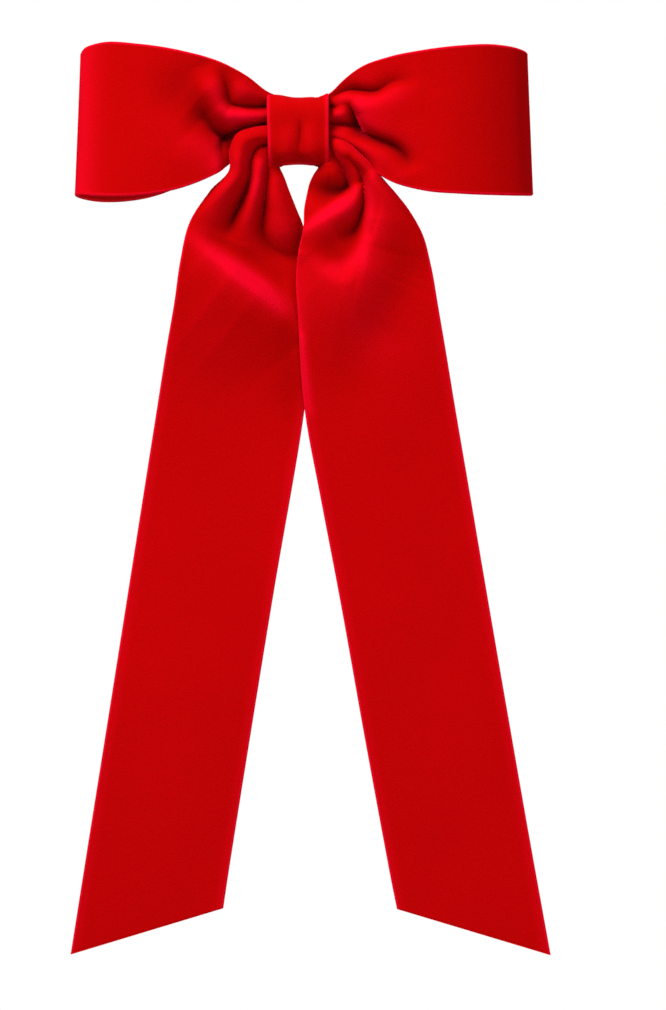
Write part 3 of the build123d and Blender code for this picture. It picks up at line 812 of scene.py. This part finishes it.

# painted highlight and painted shade on the left tail, in bands along its folds
LEFT_TAIL_PAINTED_LIGHT = [
    (
        swell, [(-27.0, -28.0), (-22.5, -31.2), (-15.6, -36.4), (-9.5, -41.0), (-4.0, -46.0)],
        [0.35, 0.7, 1.0, 1.0, 0.5], [2.4, 2.5, 2.5, 2.6, 3.0],
    ),
    (swell, [(-3.0, -52.0), (-2.5, -70.0)], [-0.3, -0.15], [3.5, 3.5]),
    (swell, [(-14.0, -20.0), (-16.5, -27.0)], [-0.5, -0.15], [2.6, 3.6]),
    (swell, [(-28.0, -34.0), (-20.0, -44.0), (-10.0, -52.0)], [-0.05, -0.12, -0.12], [3.5, 4.5, 5.0]),
]

# painted highlight and painted shade on the right tail, in bands along its folds
RIGHT_TAIL_PAINTED_LIGHT = [
    (
        swell, [(1.4, -26.4), (5.6, -22.8), (10.4, -19.2), (14.4, -15.0)],
        [0.5, 0.7, 0.9, 0.6], [1.4, 1.3, 1.2, 1.1],
    ),
    (
        swell,
        [(18.5, -14.0), (18.8, -20.0), (18.3, -26.0), (16.8, -31.0), (14.2, -34.4), (10.6, -36.2),
         (6.6, -34.8)],
        [0.45, 0.6, 0.5, 0.45, 0.85, 0.95, 0.3], [0.9, 1.1, 1.5, 1.9, 2.5, 2.5, 2.4],
    ),
    (
        swell, [(-0.2, -28.0), (-0.4, -39.0), (0.6, -55.0), (3.0, -74.0)],
        [0.9, 0.9, 0.9, 0.5], [1.2, 1.3, 1.3, 1.2],
    ),
    (swell, [(5.0, -12.0), (7.0, -13.0), (11.0, -16.0)], [-0.5, -0.6, -0.5], [3.4, 3.6, 2.4]),
    (swell, [(26.0, -42.0), (20.0, -54.0)], [0.1, 0.3], [5.0, 7.0]),
]


def tail_ribbon(name, route, folds, painted_bands, side):
    """Half of the tails' ribbon: bunched in the knot, turned under at its outer edge, then hanging flat."""
    rows, length = flowing([(r[0], r[2], r[1], *r[3:]) for r in route], ROW_STEP)
    v = across(RIBBON_WIDTH)
    outer = rows[:, None, 0:3]
    inner = rows[:, None, [3, 5, 4]]
    reach = inner - outer
    span = np.hypot(reach[:, :, 0], reach[:, :, 2])
    # the outer edge curls round a small radius: begin is 0 where it is turned right under
    begin = math.pi * (1 - np.clip(rows[:, 6], 0, 1))[:, None]
    share = TURN_RADIUS * (math.pi - begin) / RIBBON_WIDTH
    bend = begin + (math.pi - begin) * np.clip(v[None, :] / np.maximum(share, 1e-6), 0, 1)
    flat = np.clip((v[None, :] - share) / (1 - share), 0, 1)
    shift = TURN_RADIUS * (1 - np.sin(np.maximum(begin, math.pi / 2)))
    inset = TURN_RADIUS * (1 - np.sin(bend)) - shift
    inset += (span - TURN_RADIUS + shift) * flat
    inset += RIBBON_HALF_THICK * ease(rows[:, 6], 0.0, 0.5)[:, None] * (1 - flat)
    middle = outer + reach * (inset / span)[:, :, None]
    middle[:, :, 1] = outer[:, :, 1] + TURN_RADIUS * (1 + np.cos(bend)) + reach[:, :, 1] * flat
    x, z = middle[:, :, 0], middle[:, :, 2]
    below = BELOW_KNOT_SHIFT * ease(-z, *BELOW_KNOT)
    relief = raised(x, z, folds) * ease(below + np.abs(x), *SHOULDER_OUT)
    relief *= ease(bend, TURN_SEEN, math.pi)
    hang = ease(-z, *HANG_DOWN)
    relief += hang * HANG_WAVE * np.sin(z / HANG_WAVE_DOWN + side * x / HANG_WAVE_ACROSS)
    relief += TAIL_BILLOW * (1 - hang) * np.sin(math.pi * v)[None, :] * ease(-z, *BILLOW_DOWN)
    middle[:, :, 1] -= relief
    # painted highlight and painted shade in bands on the tail, a little lightening all over, and a painted
    # highlight line beside the selvedges
    nap_and_painted_light = (TAIL_LIGHTENING + raised(x, z, painted_bands)) * ease(bend, TURN_SEEN, math.pi)
    from_edge = np.minimum(v, 1 - v) * RIBBON_WIDTH
    nap_and_painted_light += EDGE_PAINTED_HIGHLIGHT * bell(from_edge - EDGE_PAINTED_HIGHLIGHT_PLACE, EDGE_PAINTED_HIGHLIGHT_WIDTH) * ease(-z, *EDGE_PAINTED_HIGHLIGHT_DOWN)
    middle = at_depth(middle)
    if surface_normals(middle)[:, :, 1].mean() > 0:
        middle = middle[:, ::-1]
        relief, nap_and_painted_light = relief[:, ::-1], nap_and_painted_light[:, ::-1]
    return ribbon(name, middle, relief, nap_and_painted_light, length, v, RIBBON_WIDTH, (VELVET, VELVET_BACK))


# ---------------------------------------------------------------- the knot

# y, z round the knot: from its hidden end on the hair side, once round, and over that end
WRAP_ROUTE = [
    (1.0, 2.6),
    (1.0, -2.6),
    (0.5, -5.4),
    (-2.6, -8.0),
    (-6.5, -8.9),
    (-10.2, -8.6),
    (-12.4, -6.6),
    (-13.3, 0.0),
    (-12.4, 6.4),
    (-10.2, 8.4),
    (-6.5, 8.7),
    (-2.6, 7.9),
    (0.6, 5.6),
    (2.0, 3.0),
    (2.05, -2.4),
]
KNOT_FOLDS = [
    (
        crease, [(0.9, 2.2), (0.8, -1.5), (0.6, -4.5), (0.2, -7.0)],
        [0.2, 1.0, 1.0, 0.2], [0.8, 0.8, 0.8, 1.0],
    ),
    (crease, [(5.2, 9.4), (4.9, 6.4)], [0.7, 0.2], [0.8, 0.9]),
    (swell, [(-2.6, -2.0), (-3.2, -7.0)], [0.3, 0.5], [1.8, 2.0]),
    (swell, [(3.4, -1.0), (3.6, -7.0)], [0.3, 0.5], [1.8, 2.0]),
    (swell, [(-4.6, 7.6), (-3.4, 3.0)], [0.4, 0.1], [2.2, 2.6]),
]
WRAP_FRONT_DEPTHS = (2.0, 6.0)
WRAP_HALF_HEIGHT = 9.0
# the left edge leans in towards the foot of the knot
WRAP_PULL = 0.5
# over the top and the foot the ribbon dips in its middle, and down the face its edges roll back
CAP_HEIGHTS = (6.0, 8.6)
CAP_DIP = 0.95
CAP_DIP_POWER = 1.8
CAP_DROP = 0.65
FACE_ROLL = 0.4
# firm edges stand a little proud of the pulled-down face and carry a painted highlight, and the whole
# knot's colour is set a little darker
WRAP_EDGE_RISE = 0.2
WRAP_EDGE_PLACE = 0.94
WRAP_EDGE_WIDTH = 0.05
WRAP_DARKENING = -0.05
WRAP_EDGE_PAINTED_HIGHLIGHT = 0.55
WRAP_EDGE_PAINTED_HIGHLIGHT_PLACE = 0.95
WRAP_EDGE_PAINTED_HIGHLIGHT_WIDTH = 0.07


def knot_wrap():
    """The narrow ribbon wound once round the waist and the barrette's plate."""
    rows, length = flowing([(0.0, y, z) for y, z in WRAP_ROUTE], WRAP_ROW_STEP)
    v = across(WRAP_RIBBON_WIDTH)
    y, z = rows[:, 1:2], rows[:, 2:3]
    spread = (v[None, :] - 0.5) * 2
    front = ease(-y, *WRAP_FRONT_DEPTHS)
    left_pull = WRAP_PULL * front * (1 - z / WRAP_HALF_HEIGHT) / 2 * ease(-spread, 0.0, 1.0)
    x = WRAP_RIBBON_WIDTH / 2 * spread + left_pull
    run = np.gradient(rows[:, 1:3], axis=0)
    run /= np.linalg.norm(run, axis=1, keepdims=True)
    outward = np.stack([-run[:, 1], run[:, 0]], axis=1)
    zs = z + 0 * x
    cap = ease(np.abs(zs), *CAP_HEIGHTS)
    dip = CAP_DIP * np.abs(spread) ** CAP_DIP_POWER - CAP_DROP
    relief = front * (cap * dip - FACE_ROLL * (1 - cap) * spread**4)
    relief += front * raised(x, zs, KNOT_FOLDS)
    relief += front * WRAP_EDGE_RISE * bell(np.abs(spread) - WRAP_EDGE_PLACE, WRAP_EDGE_WIDTH)
    middle = np.stack([x + 0 * y, y + outward[:, 0:1] * relief, z + outward[:, 1:2] * relief], axis=2)
    middle = middle[:, ::-1]
    # painted highlight along the knot's side edges, over a colour set a little darker all over
    painted_edge_highlight = bell(np.abs(spread) - WRAP_EDGE_PAINTED_HIGHLIGHT_PLACE, WRAP_EDGE_PAINTED_HIGHLIGHT_WIDTH)
    nap_and_painted_light = WRAP_DARKENING + WRAP_EDGE_PAINTED_HIGHLIGHT * painted_edge_highlight + 0 * y
    return ribbon(
        "knot_velvet_wrap", middle, relief[:, ::-1], nap_and_painted_light, length, v, WRAP_RIBBON_WIDTH,
        (WRAP_VELVET, WRAP_BACK), WRAP_HALF_THICK,
    )


# ---------------------------------------------------------------- threads, by geometry nodes

THREAD_RADIUS = 0.00016
THREAD_SIDES = 8
THREAD_TURNS = 9
WINDING_BAND = 0.0026
TURN_POINTS = 40
TURN_SQUARENESS = 3.4
TURN_SLACK = ((0.98, 0.975, 0.975), (1.0, 1.0, 1.0))


def winding_tree():
    """A thread wound round and round a rounded block: one closed turn, repeated along X."""
    tree = bpy.data.node_groups.new("thread_winding", "GeometryNodeTree")
    face = tree.interface
    face.new_socket("Geometry", in_out="INPUT", socket_type="NodeSocketGeometry")
    for name, kind in (
        ("Turns", "NodeSocketInt"),
        ("Band", "NodeSocketFloat"),
        ("Thread radius", "NodeSocketFloat"),
        ("Material", "NodeSocketMaterial"),
    ):
        face.new_socket(name, in_out="INPUT", socket_type=kind)
    face.new_socket("Geometry", in_out="OUTPUT", socket_type="NodeSocketGeometry")
    nodes, links = tree.nodes, tree.links
    entry, leave = nodes.new("NodeGroupInput"), nodes.new("NodeGroupOutput")
    to_curve = nodes.new("GeometryNodeMeshToCurve")
    profile = nodes.new("GeometryNodeCurvePrimitiveCircle")
    profile.inputs["Resolution"].default_value = THREAD_SIDES
    sweep = nodes.new("GeometryNodeCurveToMesh")
    line = nodes.new("GeometryNodeMeshLine")
    line.mode = "END_POINTS"
    half = nodes.new("ShaderNodeMath")
    half.operation = "MULTIPLY"
    half.inputs[1].default_value = 0.5
    minus = nodes.new("ShaderNodeMath")
    minus.operation = "MULTIPLY"
    minus.inputs[1].default_value = -1.0
    low, high = nodes.new("ShaderNodeCombineXYZ"), nodes.new("ShaderNodeCombineXYZ")
    place = nodes.new("GeometryNodeInstanceOnPoints")
    jitter = nodes.new("FunctionNodeRandomValue")
    jitter.data_type = "FLOAT_VECTOR"
    jitter.inputs["Min"].default_value, jitter.inputs["Max"].default_value = TURN_SLACK
    jitter.inputs["Seed"].default_value = 7
    real = nodes.new("GeometryNodeRealizeInstances")
    paint = nodes.new("GeometryNodeSetMaterial")
    smooth = nodes.new("GeometryNodeSetShadeSmooth")
    links.new(entry.outputs["Geometry"], to_curve.inputs["Mesh"])
    links.new(entry.outputs["Thread radius"], profile.inputs["Radius"])
    links.new(to_curve.outputs["Curve"], sweep.inputs["Curve"])
    links.new(profile.outputs["Curve"], sweep.inputs["Profile Curve"])
    links.new(entry.outputs["Band"], half.inputs[0])
    links.new(half.outputs[0], minus.inputs[0])
    links.new(minus.outputs[0], low.inputs["X"])
    links.new(half.outputs[0], high.inputs["X"])
    links.new(low.outputs[0], line.inputs["Start Location"])
    links.new(high.outputs[0], line.inputs["Offset"])
    links.new(entry.outputs["Turns"], line.inputs["Count"])
    links.new(line.outputs["Mesh"], place.inputs["Points"])
    links.new(sweep.outputs["Mesh"], place.inputs["Instance"])
    links.new(jitter.outputs["Value"], place.inputs["Scale"])
    links.new(place.outputs["Instances"], real.inputs["Geometry"])
    links.new(real.outputs["Geometry"], smooth.inputs["Geometry"])
    links.new(smooth.outputs["Geometry"], paint.inputs["Geometry"])
    links.new(entry.outputs["Material"], paint.inputs["Material"])
    links.new(paint.outputs["Geometry"], leave.inputs["Geometry"])
    return tree


def run_tree(name, piece, tree, **values):
    """Gives a piece the tree, sets its inputs, and leaves the finished mesh as a new piece."""
    modifier = piece.modifiers.new(name, "NODES")
    modifier.node_group = tree
    sockets = {s.name: s.identifier for s in tree.interface.items_tree if s.in_out == "INPUT"}
    for key, value in values.items():
        modifier[sockets[key.replace("_", " ")]] = value
    bpy.context.view_layer.update()
    graph = bpy.context.evaluated_depsgraph_get()
    mesh = bpy.data.meshes.new_from_object(piece.evaluated_get(graph))
    mesh.name = name
    made = bpy.data.objects.new(name, mesh)
    bpy.context.scene.collection.objects.link(made)
    bpy.data.objects.remove(piece)
    return made


def turn_guide(name, node, pull):
    """One turn of thread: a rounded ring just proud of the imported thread's own box."""
    low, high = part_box(node)
    centre = (np.array(low) + np.array(high)) / 2
    half = (np.array(high) - np.array(low)) / 2 - pull
    power = TURN_SQUARENESS
    verts = []
    for i in range(TURN_POINTS):
        a = 2 * math.pi * i / TURN_POINTS
        c, s = math.cos(a), math.sin(a)
        reach = (abs(c) ** power + abs(s) ** power) ** (-1 / power)
        verts.append((0.0, centre[1] + half[1] * reach * c, centre[2] + half[2] * reach * s))
    mesh = bpy.data.meshes.new(name)
    mesh.from_pydata(verts, [(i, (i + 1) % TURN_POINTS) for i in range(TURN_POINTS)], [])
    guide = bpy.data.objects.new(name, mesh)
    bpy.context.scene.collection.objects.link(guide)
    return guide


# ---------------------------------------------------------------- assembly


FINISHES = (
    (NICKEL, ("base_plate", "hinge_bracket", "bracket_rivet", "hinge_pin", "clasp_arm",
              "strip_rivet", "catch_saddle", "catch_rivet")),
    (SPRING, ("tension_strip", "catch_prong_upper", "catch_prong_lower")),
    (ADHESIVE, ("glue_pad",)),
    (THREAD, ("wrap_end_stitches",)),
)


def paint_nodes():
    for material, nodes in FINISHES:
        for node in nodes:
            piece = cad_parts[node]
            piece.data.materials.clear()
            piece.data.materials.append(material)


def make_camera():
    camera = bpy.data.cameras.new("camera")
    camera.lens = LENS
    camera.sensor_width = SENSOR
    camera.clip_start = 0.01
    camera.clip_end = 20.0
    holder = bpy.data.objects.new("camera", camera)
    holder.location = (VIEW_CENTRE[0] * MM, -VIEW_DISTANCE * MM, VIEW_CENTRE[1] * MM)
    holder.rotation_euler = (math.pi / 2, 0, 0)
    bpy.context.scene.collection.objects.link(holder)
    bpy.context.scene.camera = holder


def softbox(name, place, target, size, power):
    light = bpy.data.lights.new(name, "AREA")
    light.shape = "DISK"
    light.size = size
    light.energy = power
    holder = bpy.data.objects.new(name, light)
    holder.location = place
    aim = np.array(target) - np.array(place)
    holder.rotation_euler = Vector(aim).to_track_quat("-Z", "Y").to_euler()
    bpy.context.scene.collection.objects.link(holder)


def studio():
    """White all round, but only part of it lights the bow, so that the key light shapes the folds."""
    world = bpy.data.worlds.new("studio")
    world.use_nodes = True
    tree = world.node_tree
    tree.nodes["Background"].inputs["Color"].default_value = (1, 1, 1, 1)
    seen = tree.nodes.new("ShaderNodeLightPath")
    level = tree.nodes.new("ShaderNodeMapRange")
    level.inputs["To Min"].default_value = WORLD_LIGHT
    tree.links.new(seen.outputs["Is Camera Ray"], level.inputs["Value"])
    tree.links.new(level.outputs["Result"], tree.nodes["Background"].inputs["Strength"])
    bpy.context.scene.world = world
    bpy.context.scene.view_settings.view_transform = "Standard"
    softbox("key", (-0.40, -0.50, 0.66), BOW_CENTRE, 0.5, 27.5)
    softbox("fill", (0.50, -0.90, -0.10), BOW_CENTRE, 0.8, 6.2)
    softbox("low_fill", (0.05, -0.50, -0.60), (0, 0, -0.02), 0.5, 1.5)
    softbox("hair_side", (0.30, 0.95, 0.30), BOW_CENTRE, 1.8, 11.0)


def pale_floor():
    turns = [2 * math.pi * i / FLOOR_SIDES for i in range(FLOOR_SIDES)]
    verts = [(FLOOR_RADIUS * math.cos(a), FLOOR_RADIUS * math.sin(a), FLOOR_HEIGHT) for a in turns]
    shade = Shade("pale_floor")
    grain = shade.noise(shade.coordinates(), 60.0, 3.0)
    colour = shade.ramp(grain, [(0.3, (0.80, 0.80, 0.80)), (0.7, (0.84, 0.84, 0.84))])
    shade.link(colour, shade.shader.inputs["Base Color"])
    shade.set(Roughness=0.8)
    floor = new_piece("floor", verts, [tuple(range(FLOOR_SIDES))], (shade.material,))


make_camera()
studio()
pale_floor()
paint_nodes()

loops = loop_ribbon()
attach(loops, "root")
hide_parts("loop_ribbon")

wrap = knot_wrap()
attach(wrap, "root")
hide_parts("knot_wrap")

for name, body, route, folds, painted_bands, side in (
    ("left_tail_velvet", "left_tail", LEFT_TAIL_ROUTE, LEFT_TAIL_FOLDS, LEFT_TAIL_PAINTED_LIGHT, -1),
    ("right_tail_velvet", "right_tail", RIGHT_TAIL_ROUTE, RIGHT_TAIL_FOLDS, RIGHT_TAIL_PAINTED_LIGHT, 1),
):
    hanging = tail_ribbon(name, route, folds, painted_bands, side)
    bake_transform(hanging)
    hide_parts(body, *(["tail_gather"] if side < 0 else []))

winding = winding_tree()
for name, node in (("waist_thread", "loop_gather_thread"), ("roll_thread", "tail_gather_thread")):
    guide = turn_guide(name + "_guide", node, THREAD_RADIUS)
    turns = run_tree(
        name, guide, winding,
        Turns=THREAD_TURNS, Band=WINDING_BAND, Thread_radius=THREAD_RADIUS, Material=THREAD,
    )
    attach(turns, "root")
    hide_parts(node)

bpy.context.view_layer.update()
